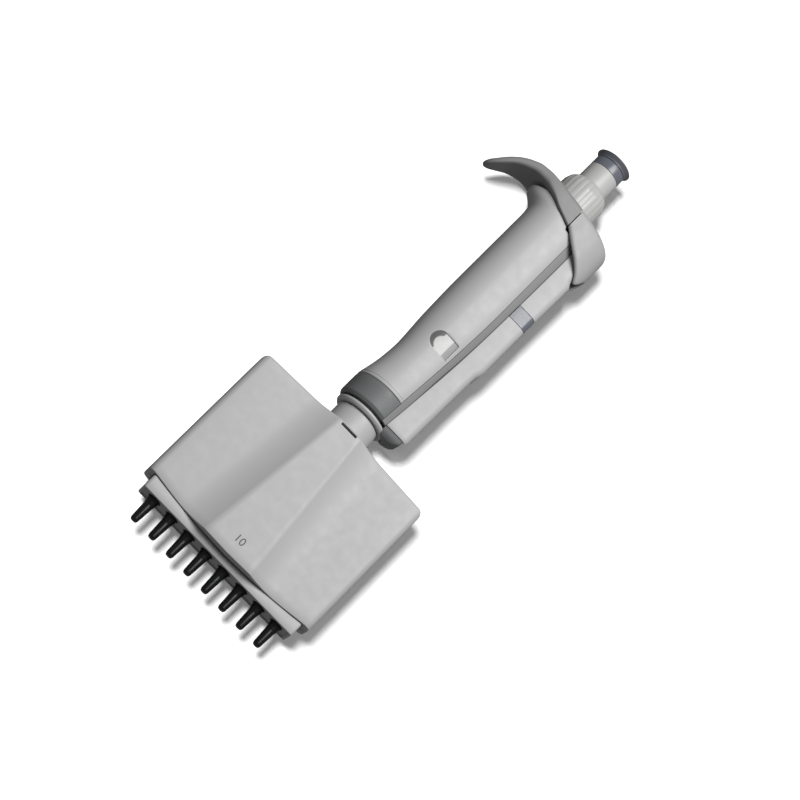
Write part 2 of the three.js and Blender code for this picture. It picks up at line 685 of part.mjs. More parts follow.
put('ejector_spring', coilSpring(2.5, 0.4, 9, 15.3, 150.6, 193.4), STEEL);
put('ejector_button', ejectorButton(), GREY);
put('ejector_rod', ejectorRod(), PALE);
put('rod_band', rodBand(), BLUE);
put('ejector_foot', ejectorFoot(), DARK);
put('ejector_ring', ejectorRing(), PALE);

tool.position.set(0, -OVERALL / 2, AXIS_HEIGHT);

const pipette = new THREE.Group();
pipette.add(tool);

export default pipette;
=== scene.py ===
"""Eight-channel hand pipette: the looks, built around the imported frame."""
import math

import bmesh
import bpy
from mathutils import Matrix, Vector


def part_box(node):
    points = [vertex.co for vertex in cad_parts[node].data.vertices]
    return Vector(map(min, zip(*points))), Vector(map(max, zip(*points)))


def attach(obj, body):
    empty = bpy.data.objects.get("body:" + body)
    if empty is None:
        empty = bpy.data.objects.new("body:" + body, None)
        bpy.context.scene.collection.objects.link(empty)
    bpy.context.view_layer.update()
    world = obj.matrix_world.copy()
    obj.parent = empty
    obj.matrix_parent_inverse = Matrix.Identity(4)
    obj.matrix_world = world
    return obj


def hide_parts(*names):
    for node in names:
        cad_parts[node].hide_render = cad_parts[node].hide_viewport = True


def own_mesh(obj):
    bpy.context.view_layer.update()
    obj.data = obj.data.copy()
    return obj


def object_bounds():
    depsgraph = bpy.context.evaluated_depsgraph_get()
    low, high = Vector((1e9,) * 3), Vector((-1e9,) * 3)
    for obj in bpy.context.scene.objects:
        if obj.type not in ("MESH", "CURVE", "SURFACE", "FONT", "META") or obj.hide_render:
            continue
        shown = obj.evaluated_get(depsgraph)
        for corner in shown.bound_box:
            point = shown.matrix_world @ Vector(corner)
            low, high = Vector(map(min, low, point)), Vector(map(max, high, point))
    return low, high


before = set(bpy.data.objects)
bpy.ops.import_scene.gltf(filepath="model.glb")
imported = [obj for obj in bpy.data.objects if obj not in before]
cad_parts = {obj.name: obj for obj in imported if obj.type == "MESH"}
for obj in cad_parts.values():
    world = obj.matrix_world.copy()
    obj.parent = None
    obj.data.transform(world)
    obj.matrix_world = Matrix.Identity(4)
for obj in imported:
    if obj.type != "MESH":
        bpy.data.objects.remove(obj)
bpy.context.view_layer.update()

MM = 0.001

# The tool frame: millimetres, cone tips at y = 0, the tool's axis on the Y axis, the front at +z.
TIP_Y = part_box("tip_cone_1")[0].y
AXIS_Z = sum(corner.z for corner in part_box("dial_ring")) / 2


def place(p):
    return Vector((p[0] * MM, TIP_Y + p[1] * MM, AXIS_Z + p[2] * MM))


class Span:
    """A CAD node's box in the tool frame."""

    def __init__(self, node):
        low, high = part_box(node)
        self.x0, self.x1 = low.x / MM, high.x / MM
        self.y0, self.y1 = (low.y - TIP_Y) / MM, (high.y - TIP_Y) / MM
        self.z0, self.z1 = (low.z - AXIS_Z) / MM, (high.z - AXIS_Z) / MM
        self.x = (self.x0 + self.x1) / 2
        self.radius = (self.x1 - self.x0) / 2


# ---------------------------------------------------------------- numbers and outlines
def lerp(a, b, t):
    return a + (b - a) * t


def smooth(table, t):
    """A smooth curve through the rows (t, value), with the end values held outside them."""
    if t <= table[0][0]:
        return table[0][1]
    if t >= table[-1][0]:
        return table[-1][1]
    k = next(i for i, row in enumerate(table) if row[0] >= t) - 1
    (t0, v0), (t1, v1) = table[k], table[k + 1]

    def slope(i):
        if i == 0 or i == len(table) - 1:
            j = min(i, len(table) - 2)
            return (table[j + 1][1] - table[j][1]) / (table[j + 1][0] - table[j][0])
        back = (table[i][1] - table[i - 1][1]) / (table[i][0] - table[i - 1][0])
        ahead = (table[i + 1][1] - table[i][1]) / (table[i + 1][0] - table[i][0])
        return 0 if back * ahead <= 0 else 2 * back * ahead / (back + ahead)

    h = t1 - t0
    s = (t - t0) / h
    return (
        (2 * s**3 - 3 * s**2 + 1) * v0
        + (s**3 - 2 * s**2 + s) * h * slope(k)
        + (3 * s**2 - 2 * s**3) * v1
        + (s**3 - s**2) * h * slope(k + 1)
    )


def spline(points, count):
    """count + 1 evenly spaced points on a smooth curve through the given plane points."""
    steps = 24
    fine = []
    last = len(points) - 1
    for k in range(last):
        p0, p1, p2, p3 = (Vector(points[min(max(k + d, 0), last)]) for d in (-1, 0, 1, 2))
        for n in range(steps):
            t = n / steps
            fine.append(
                0.5 * (2 * p1 + (p2 - p0) * t + (2 * p0 - 5 * p1 + 4 * p2 - p3) * t * t
                       + (3 * p1 - p0 - 3 * p2 + p3) * t**3)
            )
    fine.append(Vector(points[-1]))
    run = [0.0]
    for a, b in zip(fine, fine[1:]):
        run.append(run[-1] + (b - a).length)
    out, k = [], 0
    for n in range(count + 1):
        want = run[-1] * n / count
        while k < len(run) - 2 and run[k + 1] < want:
            k += 1
        out.append(fine[k].lerp(fine[k + 1], (want - run[k]) / (run[k + 1] - run[k])))
    return out


def fillet(points, steps=4, closed=True):
    """Rounds the corners of an outline: each point is (a, b) or (a, b, radius)."""
    out = []
    count = len(points)
    for i, p in enumerate(points):
        here = Vector(p[:2])
        radius = p[2] if len(p) > 2 else 0
        if not radius or (not closed and i in (0, count - 1)):
            out.append(here)
            continue
        back = Vector(points[i - 1][:2]) - here
        ahead = Vector(points[(i + 1) % count][:2]) - here
        half = back.angle(ahead) / 2
        reach = min(radius / math.tan(half), back.length * 0.49, ahead.length * 0.49)
        start, end = here + back.normalized() * reach, here + ahead.normalized() * reach
        for n in range(steps + 1):
            t = n / steps
            out.append(start.lerp(here, t).lerp(here.lerp(end, t), t))
    return out


# ---------------------------------------------------------------- meshes
def add_object(name, data):
    obj = bpy.data.objects.new(name, data)
    bpy.context.scene.collection.objects.link(obj)
    return obj


def add_mesh(name, bm):
    """A new object from bm, which is freed."""
    data = bpy.data.meshes.new(name)
    bm.to_mesh(data)
    bm.free()
    return add_object(name, data)


def mesh_object(name, points, faces, sharp=35):
    bm = bmesh.new()
    verts = [bm.verts.new(place(p)) for p in points]
    for face in faces:
        corners = [verts[i] for i in dict.fromkeys(face)]
        if len(corners) > 2:
            bm.faces.new(corners)
    bmesh.ops.remove_doubles(bm, verts=bm.verts, dist=2e-6)
    bmesh.ops.dissolve_degenerate(bm, edges=bm.edges, dist=1e-7)
    bmesh.ops.recalc_face_normals(bm, faces=bm.faces)
    obj = add_mesh(name, bm)
    shade(obj, sharp)
    return obj


def shade(obj, sharp=35):
    """Smooth faces, with the edges that turn by more than the angle kept crisp."""
    bm = bmesh.new()
    bm.from_mesh(obj.data)
    for face in bm.faces:
        face.smooth = True
    for edge in bm.edges:
        flat = len(edge.link_faces) == 2 and edge.calc_face_angle(0) < math.radians(sharp)
        edge.smooth = flat
    bm.to_mesh(obj.data)
    bm.free()


def skin(name, rings, loop=False, closed=True, caps=True, sharp=35):
    """Joins rings of equal point count. loop joins the last ring to the first, closed closes each ring."""
    count = len(rings[0])
    points = [p for ring in rings for p in ring]
    faces = []
    for r in range(len(rings) if loop else len(rings) - 1):
        here, there = r * count, ((r + 1) % len(rings)) * count
        for i in range(count if closed else count - 1):
            j = (i + 1) % count
            faces.append((here + i, here + j, there + j, there + i))
    if caps and not loop:
        faces.append(tuple(range(count)))
        faces.append(tuple(range((len(rings) - 1) * count, len(rings) * count)))
    return mesh_object(name, points, faces, sharp)


def turned(name, profile, segments=72, x=0.0, steps=4, sharp=35):
    """A turned piece from an outline of (radius, y, corner radius), closed or with both ends on the axis."""
    on_axis = profile[0][0] == 0
    line = fillet(profile, steps, closed=not on_axis)
    rings = []
    for s in range(segments):
        a = 2 * math.pi * s / segments
        rings.append([(x + p[0] * math.sin(a), p[1], p[0] * math.cos(a)) for p in line])
    return skin(name, rings, loop=True, closed=not on_axis, sharp=sharp)


def prism(name, outline, low, high, axis="z"):
    """A plain cutter from an outline, thick along z (outline in x, y), y (in x, z) or x (in z, y)."""
    turn = {
        "x": lambda a, b, h: (h, b, a),
        "y": lambda a, b, h: (a, h, b),
        "z": lambda a, b, h: (a, b, h),
    }[axis]
    return skin(name, [[turn(p[0], p[1], h) for p in outline] for h in (low, high)])


def circle(radius, count, x=0.0, y=0.0):
    turns = [2 * math.pi * k / count for k in range(count)]
    return [(x + radius * math.cos(a), y + radius * math.sin(a)) for a in turns]


def text_mesh(name, text, size, depth):
    """Flat lettering as a mesh, centred on the origin."""
    curve = bpy.data.curves.new(name, "FONT")
    curve.body = text
    curve.size = size * MM
    curve.extrude = depth * MM / 2
    curve.align_x = "CENTER"
    curve.align_y = "CENTER"
    flat = add_object(name, curve)
    data = bpy.data.meshes.new_from_object(flat.evaluated_get(bpy.context.evaluated_depsgraph_get()))
    bpy.data.objects.remove(flat)
    return data


def boolean(obj, cutter, operation="DIFFERENCE"):
    """Cuts obj with cutter, or joins it on, and removes the cutter."""
    modifier = obj.modifiers.new("cut", "BOOLEAN")
    modifier.object = cutter
    modifier.operation = operation
    modifier.solver = "EXACT"
    apply_modifiers(obj)
    bpy.data.objects.remove(cutter)
    return obj


def apply_modifiers(obj):
    graph = bpy.context.evaluated_depsgraph_get()
    data = bpy.data.meshes.new_from_object(obj.evaluated_get(graph))
    obj.modifiers.clear()
    old, obj.data = obj.data, data
    bpy.data.meshes.remove(old)


def soften(obj, width, segments=2, angle=38):
    """Rounds the crisp edges of obj."""
    modifier = obj.modifiers.new("soften", "BEVEL")
    modifier.width = width * MM
    modifier.segments = segments
    modifier.limit_method = "ANGLE"
    modifier.angle_limit = math.radians(angle)
    modifier.use_clamp_overlap = True
    modifier.harden_normals = False
    apply_modifiers(obj)
    shade(obj, 50)
    return obj


def dress(obj, look):
    obj.data.materials.clear()
    obj.data.materials.append(look.material)


def finish_piece(obj, body, slot, look, *nodes):
    dress(obj, look)
    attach(obj, body)
    if nodes:
        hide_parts(*nodes)
    return obj


# ---------------------------------------------------------------- materials
class Look:
    """A new material and the nodes that the looks below are made of."""

    def __init__(self, name):
        self.material = bpy.data.materials.new(name)
        self.material.use_nodes = True
        self.nodes, self.links = self.material.node_tree.nodes, self.material.node_tree.links
        self.shader = self.nodes["Principled BSDF"]
        self.where = self.node("TexCoord", {}).outputs["Object"]

    def node(self, kind, values):
        """A new node with these inputs set."""
        node = self.nodes.new("ShaderNode" + kind)
        for key, value in values.items():
            node.inputs[key].default_value = value
        return node

    def set(self, key, value):
        """Sets an input of the shader, or links it."""
        if isinstance(value, bpy.types.NodeSocket):
            self.links.new(value, self.shader.inputs[key])
        else:
            self.shader.inputs[key].default_value = value

    def noise(self, scale, detail=2, rough=0.5):
        node = self.node("TexNoise", {"Scale": scale, "Detail": detail, "Roughness": rough})
        self.links.new(self.where, node.inputs["Vector"])
        return node.outputs["Fac"]

    def mapped(self, source, start, end, low=0, high=1):
        """Carries the values from start to end over to low to high."""
        node = self.node("MapRange", {"From Min": start, "From Max": end, "To Min": low, "To Max": high})
        self.links.new(source, node.inputs["Value"])
        return node.outputs["Result"]

    def color(self, factor, second, first=None):
        """Mixes the base colour from two colours. Without a first one, from the colour so far."""
        node = self.node("Mix", {7: [*second, 1]})
        node.data_type = "RGBA"
        self.links.new(factor, node.inputs[0])
        if first:
            node.inputs[6].default_value = [*first, 1]
        else:
            self.links.new(self.shader.inputs["Base Color"].links[0].from_socket, node.inputs[6])
        self.set("Base Color", node.outputs[2])


def plastic(name, color, roughness, grain=0.35, coat=0.0):
    """Moulded plastic: an even base with a slow drift of tone, a fine spark-eroded grain and uneven gloss."""
    look = Look(name)
    look.set("IOR", 1.47)
    look.set("Coat Weight", coat)
    look.set("Coat Roughness", 0.12)
    light, dark = [min(1, c * (1 + DRIFT)) for c in color], [c * (1 - DRIFT) for c in color]
    look.color(look.mapped(look.noise(45, 3), 0.3, 0.7), light, dark)
    look.set("Roughness", look.mapped(look.noise(260, 4), 0.3, 0.7, roughness - 0.05, roughness + 0.05))
    bump = look.node("Bump", {"Strength": grain, "Distance": 0.00002})
    look.links.new(look.noise(3600, 3, 0.6), bump.inputs["Height"])
    look.set("Normal", bump.outputs["Normal"])
    return look


def metal(name, color, roughness):
    """Ground steel: fine lines round the piece and a little uneven gloss."""
    look = Look(name)
    look.set("Metallic", 1)
    stretch = look.node("Mapping", {"Scale": (1, 40, 1)})
    look.links.new(look.where, stretch.inputs["Vector"])
    look.where = stretch.outputs["Vector"]
    lines = look.noise(220, 5)
    look.color(lines, color, [c * 0.88 for c in color])
    look.set("Roughness", look.mapped(lines, 0, 1, roughness - 0.06, roughness + 0.08))
    return look


def clear_plastic(name):
    """A clear moulded window with faint haze."""
    look = Look(name)
    look.set("Alpha", 0.05)
    haze = look.noise(400)
    look.set("Roughness", look.mapped(haze, 0, 1, 0.2, 0.32))
    look.color(haze, (0.98, 0.99, 0.99), (0.93, 0.95, 0.96))
    return look


def scale_plate(name, middle, right):
    """White plastic with painted shadow darkening its round end, as if shaded by the window's recess, and
    grey at its straight end.
    """
    look = plastic(name, (0.52, 0.52, 0.51), 0.5, grain=0.1)
    across = look.node("SeparateXYZ", {})
    look.links.new(look.where, across.inputs["Vector"])
    reach = look.node("VectorMath", {1: middle})
    reach.operation = "DISTANCE"
    look.links.new(look.where, reach.inputs[0])

    def step(source, at, sign=1):
        return look.mapped(source, at - sign * 0.2 * MM, at + sign * 0.2 * MM)

    # painted shadow: a dark crescent at the round end, more than 3.1 mm from the middle and left of it, where
    # the window's recess shades the plate
    both = look.node("Math", {})
    both.operation = "MULTIPLY"
    look.links.new(step(reach.outputs["Value"], 3.1 * MM), both.inputs[0])
    look.links.new(step(across.outputs["X"], middle.x - 1.4 * MM, -1), both.inputs[1])
    look.color(both.outputs["Value"], (0.012, 0.012, 0.013))
    look.color(step(across.outputs["X"], right), (0.2, 0.2, 0.2))
    return look


DRIFT = 0.01  # how far the tone of the plastics drifts
PALE = plastic("pale_plastic", (0.405, 0.405, 0.405), 0.5, grain=0.3)
GREY = plastic("grey_plastic", (0.215, 0.215, 0.218), 0.52, grain=0.4)
BUTTON_GREY = plastic("button_plastic", (0.33, 0.33, 0.332), 0.5, grain=0.35)
DARK = plastic("dark_grey_plastic", (0.135, 0.14, 0.142), 0.55, grain=0.4)
BLUE = plastic("blue_grey_plastic", (0.12, 0.128, 0.15), 0.28)
CAP = plastic("cap_plastic", (0.11, 0.113, 0.132), 0.36)
WHITE = plastic("knob_plastic", (0.415, 0.415, 0.41), 0.42, grain=0.2, coat=0.03)
INNER = plastic("inner_plastic", (0.45, 0.45, 0.44), 0.5)
BLACK = plastic("cone_plastic", (0.0035, 0.0037, 0.004), 0.26, grain=0.12, coat=0.08)
WHEEL = plastic("counter_plastic", (0.02, 0.02, 0.022), 0.45)
FIGURE = plastic("figure_ink", (0.6, 0.6, 0.58), 0.55)
PRINT = plastic("print_ink", (0.08, 0.08, 0.085), 0.6)
STEEL = metal("ground_steel", (0.62, 0.63, 0.64), 0.3)
CLEAR = clear_plastic("clear_window")

# ---------------------------------------------------------------- driving shapes, in the tool frame
GAP = 0.3
WALL = 1.8
COVER_FRONT = Span("manifold_cover_front")
COVER_REAR = Span("manifold_cover_rear")
SLEEVE = Span("stripper_sleeve")
BAR = Span("stripper_bar")
BAND = Span("lower_band")
RING = Span("ejector_ring")
KNOB = Span("dial_ring")
HOOK = Span("finger_hook")
ROD = Span("ejector_rod")
FRONT_SHELL = Span("handle_shell_front")
RAIL = Span("side_rail")

WING = 7.0  # half thickness of the covers' flat wings
CORNER = 2.6
CREASE_LOW, CREASE_HIGH = (16.5, 11.2), (78.0, 5.4)  # (y, x) of the edges of the raised centre panel
CREASE_RISE = 13.0
COVER_ENDS = 16.6  # y of the covers' lower edge at both ends
COVER_SIDES = 79.0  # y of the covers' top edge at both ends
MOUTH = 38.2  # half width of the opening in the covers' lower edge
COVER_RIM = 1.2  # rounding of the covers' top edge
BORE_FROM = 61  # above this y the covers are bored for the sleeve
MARK_MIDDLE = (0.3, 20.3)  # x and y of the number on the front cover
HOLE = 3.0  # radius of the tray's holes for the cones
SLOT_HALF = 3.8  # half width of the slots in the covers and the sleeve
COVER_SLOT = (78.5, 79.6)
SLEEVE_SLOT_TOP = 79.7
BORE = SLEEVE.radius + 0.2

RAIL_INNER = [(90, 6.1), (101, 6.8), (132, 8.8), (152, 9.4), (200, 9.4)]
RAIL_OUTER = [(90, 7.9), (101, 8.9), (133, 11.1), (153, 11.7), (190, 12.1), (200, 12.1)]
RAIL_DEPTH = [(90, 10.6), (101, 10.3), (112, 8.9), (120, 8.3), (135, 9), (152, 9.5), (200, 9.5)]
RAIL_BEVEL = 1.6
RAIL_SPREAD = 0.2  # the rail reaches this far into the gap on each side
SHELL_LEFT = [(100, 12.4), (101, 12.4), (104, 11.9), (108, 11.1), (114, 10.35), (120, 10), (128, 10.4),
              (136, 10.9), (156, 11.35), (193, 11.4), (196.2, 11.6), (198.2, 12.1), (199.5, 13.2),
              (200.5, 14.7), (201.7, 16.2), (203.2, 16.8), (206, 16.9)]
SHELL_DEPTH = [(100, 12.3), (101, 12.3), (104, 11.8), (108, 11), (114, 10.35), (120, 10), (128, 10.3),
               (136, 10.8), (156, 11.3), (176, 11.4), (206, 11.4)]
SHELL_POWER = 2.6  # how square the shells' section is on the rail's side
SHELL_SHARE = 0.7  # how much of that side's half width is left of the rail
GROOVE = (101.9, 102.0, 102.3, 102.4)  # y of the line round the foot of the shells
SHELL_TOP = 196.6  # under the ejector button
SHELL_BROW = 203.9  # under the hook
SEAM_X = HOOK.x1
HOOK_BELOW = [(-35.9, 196.4), (-35, 196.3), (-33.5, 197.2), (-30, 200.2), (-26.5, 203.1), (-22.8, 204.8),
              (-19, 205.7), (-15, 205.4), (-11.5, 204.3), (-7.6, 202.7), (-3.9, 200.8), (0, 199.3),
              (3.4, 198)]
HOOK_ABOVE = [(-35.9, 197.3), (-35, 198.7), (-33.5, 200.2), (-30, 204), (-26.5, 206.8), (-22.8, 208.8),
              (-19, 210), (-15, 210.1), (-11.5, 209.6), (-7.6, 209), (-3.9, 208.4), (0, 208), (3.4, 207.4)]
HOOK_PLAN = [(3.4, 12.8), (-3, 12.8), (-7.6, 12.6), (-11.5, 12), (-15, 11.1), (-19, 10.2), (-22.8, 9.3),
             (-26.5, 8.3), (-30, 7), (-33, 5.2), (-35.1, 2.8), (-35.9, 0)]
BUTTON_PLAN = [(3.85, 12.8), (8, 12.7), (12, 12.2), (16, 11.2), (20, 9.3), (22.3, 7), (23.6, 4), (24, 0)]
BUTTON_ABOVE = [(3.4, 207.3), (8, 206.6), (12, 206), (16, 205.4), (20, 204.4), (23, 203.5), (25, 202.6)]
BUTTON_BELOW = [(3.4, 198.5), (4.4, 197.7), (7.5, 195.3), (11.3, 192.7), (15.1, 190.3), (18.9, 187.3),
                (20.6, 185.4), (21.4, 184.8), (22.2, 185.6), (23.2, 188.4), (24, 190.2)]
LENS_DEPTH = (0.15, 0.45)  # faces of the window's lens and scale, under the shell's surface
SCALE_DEPTH = (0.55, 1.5)
SCALE_SHADE_CENTRE = (1.6, 129, 9.5)  # middle of the scale's clear field; painted shadow darkens the round end beyond it
INK_RIGHT = 4.4  # where its grey block starts
ROD_RIGHT = [(90, 19), (128, 19.6), (130.5, 19.8), (133.5, 20.7), (157, 20.8), (183.6, 21.2), (184.6, 20.2),
             (196, 20.2)]
ROD_SLANT = (7, -9, 6.4)  # the rod's lower end rises by the last figure from the first z to the second
HEEL = [(87.8, 12.4, 5, -0.5, 2.5), (88.5, 15, 6.6, -2.4, 5), (90, 16.9, 7.8, -4, 6),
        (91.6, 17.4, 8.2, -4.5, 6.5)]  # the ejector's heel: y, right edge, front, back, rear corner radius


# ---------------------------------------------------------------- manifold
def crease_x(y):
    (y0, x0), (y1, x1) = CREASE_LOW, CREASE_HIGH
    return lerp(x0, x1, (y - y0) / (y1 - y0))


def cover_edge(x):
    """The covers' curved lower edge."""
    t = min(1, abs(x) / BAR.radius)
    return lerp(COVER_FRONT.y0, COVER_ENDS, 0.35 * t + 0.65 * t * t)


def cover_top(x):
    """The covers' top edge: highest at the neck, rounded off at both corners."""
    t = max(0, (abs(x) - 10) / (COVER_FRONT.radius - 10))
    drop = 1.6 * (1 - math.sqrt(max(0, 1 - max(0, (abs(x) - COVER_FRONT.radius + 1.6) / 1.6) ** 2)))
    return lerp(COVER_FRONT.y1, COVER_SIDES, t) - drop


def cover_quarter(y, depth, inset):
    """Half of a cover's section, from the middle of the centre panel to the parting plane."""
    crease = crease_x(y) - inset / 3
    foot = crease + CREASE_RISE
    wing, half, corner = WING - inset, COVER_FRONT.radius - inset, CORNER - inset / 2
    points = [(crease * k / 6, depth - inset) for k in range(6)]
    for k in range(17):
        t = 1 - k / 16
        points.append((foot - t * CREASE_RISE, wing + (depth - inset - wing) * t * t))
    flat = half - corner - foot
    points += [(foot + flat * k / 4, wing) for k in range(1, 4)]
    for k in range(9):
        a = math.pi / 2 * (1 - k / 8)
        points.append((half - corner + corner * math.cos(a), wing - corner + corner * math.sin(a)))
    points += [(half, lerp(wing - corner, GAP / 2, k / 3)) for k in range(1, 4)]
    return points


def cover(name, side, depth):
    """One cover as columns across its section, each a closed loop of outside, top, inside and rim."""
    rows = 20
    heights = {}

    def section(y, inset):
        key = (round(y, 4), inset)
        if key not in heights:
            half = cover_quarter(y, depth, inset)
            heights[key] = [(-x, z) for x, z in reversed(half[1:])] + half
        return heights[key]

    def at(column, y, inward):
        (x0, z0), (x1, z1) = section(y, 0)[column], section(y, WALL)[column]
        x, z = lerp(x0, x1, inward / WALL), lerp(z0, z1, inward / WALL)
        if y > BORE_FROM and x * x + z * z < BORE * BORE:
            z = math.sqrt(max(0, BORE * BORE - x * x))
        return x, y, max(z, GAP / 2)

    rings = []
    for column in range(len(section(50, 0))):
        x, flank = section(50, 0)[column]
        low, high = cover_edge(x), cover_top(x)
        mouth = (x, WING - WALL) if abs(x) < MOUTH else (math.copysign(MOUTH, x), min(flank, WING - WALL))
        ring = [(mouth[0], low + WALL, mouth[1]), (mouth[0], low + 0.2, mouth[1])]
        ring.append((mouth[0], low, mouth[1] + 0.2))
        ring += [at(column, low, 0.5), at(column, low + 0.14, 0.16), at(column, low + 0.5, 0)]
        for k in range(1, rows):
            ring.append(at(column, lerp(low + 0.5, high - COVER_RIM, k / rows), 0))
        for k in range(6):
            a = math.pi / 2 * k / 5
            ring.append(at(column, high - COVER_RIM * (1 - math.sin(a)), COVER_RIM * (1 - math.cos(a))))
        fx, fy, fz = ring[-1]
        end = max(GAP / 2, math.sqrt(max(0, BORE * BORE - fx * fx)))
        end = min(end, fz)
        ring += [(fx, fy, lerp(fz, end, k / 3)) for k in range(1, 4)]
        ring.append((fx, fy - WALL, end))
        for k in range(1, 9):
            ring.append(at(column, lerp(high - WALL, low + WALL, k / 8), WALL))
        rings.append([(px, py, side * pz) for px, py, pz in ring])
    obj = skin(name, rings, sharp=40)
    half, (low, high) = SLOT_HALF, COVER_SLOT
    slot = fillet([(-half, low, 0.4), (half, low, 0.4), (half, high, 0.4), (-half, high, 0.4)])
    boolean(obj, prism("slot", slot, *sorted((side * 8, side * 14))))
    shade(obj, 40)
    return obj


def stripper_bar():
    """The tray that pushes the tips off: open at the top, with a sunk underside and eight holes."""
    corners = [(-1, -1), (1, -1), (1, 1), (-1, 1)]

    def loop(inset, height):
        half, deep = BAR.radius - inset, BAR.z1 - inset
        outline = fillet([(sx * half, sz * deep, max(0.3, 1.3 - inset)) for sx, sz in corners], 6)
        line = []
        for k, p in enumerate(outline):
            q = outline[(k + 1) % len(outline)]
            cuts = 40 if (q - p).length > 20 else 1
            line += [p.lerp(q, n / cuts) for n in range(cuts)]
        return [(p.x, height(p.x), p.y) for p in line]

    low, floor = BAR.y0, BAR.y0 + 2.1

    def top(drop):
        return lambda x: cover_edge(x) - GAP - drop

    rings = [
        loop(1.5, lambda x: low + 0.6), loop(1.35, lambda x: low + 0.5), loop(1.3, lambda x: low + 0.1),
        loop(1.15, lambda x: low), loop(0.5, lambda x: low), loop(0.15, lambda x: low + 0.14),
        loop(0, lambda x: low + 0.5), loop(0, top(0.3)), loop(0.1, top(0.08)), loop(0.3, top(0)),
        loop(1.1, top(0)), loop(1.2, top(0.1)), loop(1.2, lambda x: floor + 0.05), loop(1.3, lambda x: floor),
    ]
    obj = skin("stripper_tray", rings, sharp=50)
    for n in range(1, 9):
        cutter = prism("hole", circle(HOLE, 40, Span(f"tip_cone_{n}").x), low - 2, floor + 2, "y")
        boolean(obj, cutter)
    shade(obj, 45)
    return finish_piece(obj, "stripper", "pale", PALE, "stripper_bar")


def tip_cones():
    for n in range(1, 9):
        c = Span(f"tip_cone_{n}")
        r, top = c.radius, c.y1
        profile = [
            (0.45, 1.2), (0.45, 0.1, 0.1), (1.25, 0, 0.3), (1.62, 0.9, 0.4),
            (1.98, 7.4, 0.8), (2.02, 8.0, 0.2), (2.14, 8.3, 0.4),
            (r - 0.12, 11.2, 0.4), (r, 11.8, 0.3), (r, top, 0.2), (0.45, top, 0.1),
        ]
        obj = turned(f"cone_{n}_skin", profile, 48, c.x)
        finish_piece(obj, f"cone_{n}", "cone_black", BLACK, f"tip_cone_{n}")


def stripper_sleeve():
    s = SLEEVE
    inner = s.radius - 1.5
    profile = [(inner, s.y0), (s.radius, s.y0, 0.2), (s.radius, s.y1, 0.5), (inner, s.y1, 0.2)]
    obj = turned("neck_sleeve", profile, 96)
    half, low, high = SLOT_HALF, s.y0 - 5, SLEEVE_SLOT_TOP
    slot = [(-half, low), (half, low), (half, high, 0.3), (-half, high, 0.3)]
    boolean(obj, prism("slot", fillet(slot), -15, 15))
    shade(obj, 40)
    return finish_piece(obj, "stripper", "pale", PALE, "stripper_sleeve")


def manifold():
    front = cover("front_cover_shell", 1, COVER_FRONT.z1)
    finish_piece(front, "manifold", "pale", PALE, "manifold_cover_front")
    rear = cover("rear_cover_shell", -1, -COVER_REAR.z0)
    for side in ("left", "right"):
        screw = Span(f"cover_screw_{side}")
        middle = (screw.y0 + screw.y1) / 2
        bores = (("counterbore", screw.radius + 0.3, 40, -5.9), ("clearance", 1.5, 24, -4))
        for name, radius, count, depth in bores:
            boolean(rear, prism(name, circle(radius, count, screw.x, middle), -9, depth))
    shade(rear, 40)
    finish_piece(rear, "manifold", "pale", PALE, "manifold_cover_rear")
    mark = text_mesh("volume_mark", "10", 4.5, 0.04)
    mark.transform(Matrix.Translation(place((*MARK_MIDDLE, COVER_FRONT.z1 + 0.01))))
    finish_piece(add_object("volume_mark", mark), "manifold", "dark", PRINT)
    stripper_bar()
    stripper_sleeve()
    tip_cones()


# ---------------------------------------------------------------- handle
def seam(x):
    """The top edge of the handle shells: under the hook's collar, then under the ejector button."""
    return min(smooth(HOOK_BELOW, x) - GAP, SHELL_BROW) if x < SEAM_X - GAP else SHELL_TOP


def shell(name, side):
    """One half of the handle as columns, each a closed loop of rim, outside, top and inside."""
    columns, rows = 44, 56

    def point(t, y, inset):
        left, depth = smooth(SHELL_LEFT, y) - inset, smooth(SHELL_DEPTH, y) - inset
        if GROOVE[0] < y < GROOVE[3] and not inset:
            left, depth = left - 0.16, depth - 0.16
        right = smooth(RAIL_INNER, y) / SHELL_SHARE - inset
        cut = smooth(RAIL_INNER, y) - GAP
        start = math.acos((cut / right) ** (SHELL_POWER / 2))
        end = math.pi - math.asin(GAP / 2 / depth)
        a = lerp(start, end, t)
        c, s = math.cos(a), math.sin(a)
        if c > 0:
            return right * c ** (2 / SHELL_POWER), y, depth * s ** (2 / SHELL_POWER)
        return left * c, y, depth * s

    rings = []
    for column in range(columns + 1):
        t = column / columns
        high = 200.0
        for _ in range(12):
            high = lerp(high, seam(point(t, high, 0)[0]), 0.6)
        low = FRONT_SHELL.y0
        ring = [point(t, low + 0.1, WALL), point(t, low, WALL - 0.3), point(t, low, 0.35)]
        ring += [point(t, low + 0.1, 0.1), point(t, low + 0.35, 0)]
        ring += [point(t, y, 0) for y in GROOVE]
        for k in range(1, rows):
            ring.append(point(t, lerp(GROOVE[3], high - 0.3, k / rows), 0))
        ring += [point(t, high - 0.3, 0), point(t, high - 0.05, 0.1), point(t, high, 0.35)]
        ring.append(point(t, high, WALL - 0.3))
        for k in range(24):
            ring.append(point(t, lerp(high - 0.2, low + 0.4, k / 24), WALL))
        rings.append([(x, y, side * z) for x, y, z in ring])
    return skin(name, rings, sharp=40)


def window_outline(inset):
    w = Span("window_lens")
    radius = (w.y1 - w.y0) / 2 + GAP - inset
    middle, right = (w.y0 + w.y1) / 2, w.x1 + GAP - inset
    left = w.x0 - GAP + inset + radius
    points = [(right, middle - radius), (right, middle + radius)]
    for k in range(25):
        a = math.pi / 2 + math.pi * k / 24
        points.append((left + radius * math.cos(a), middle + radius * math.sin(a)))
    return points


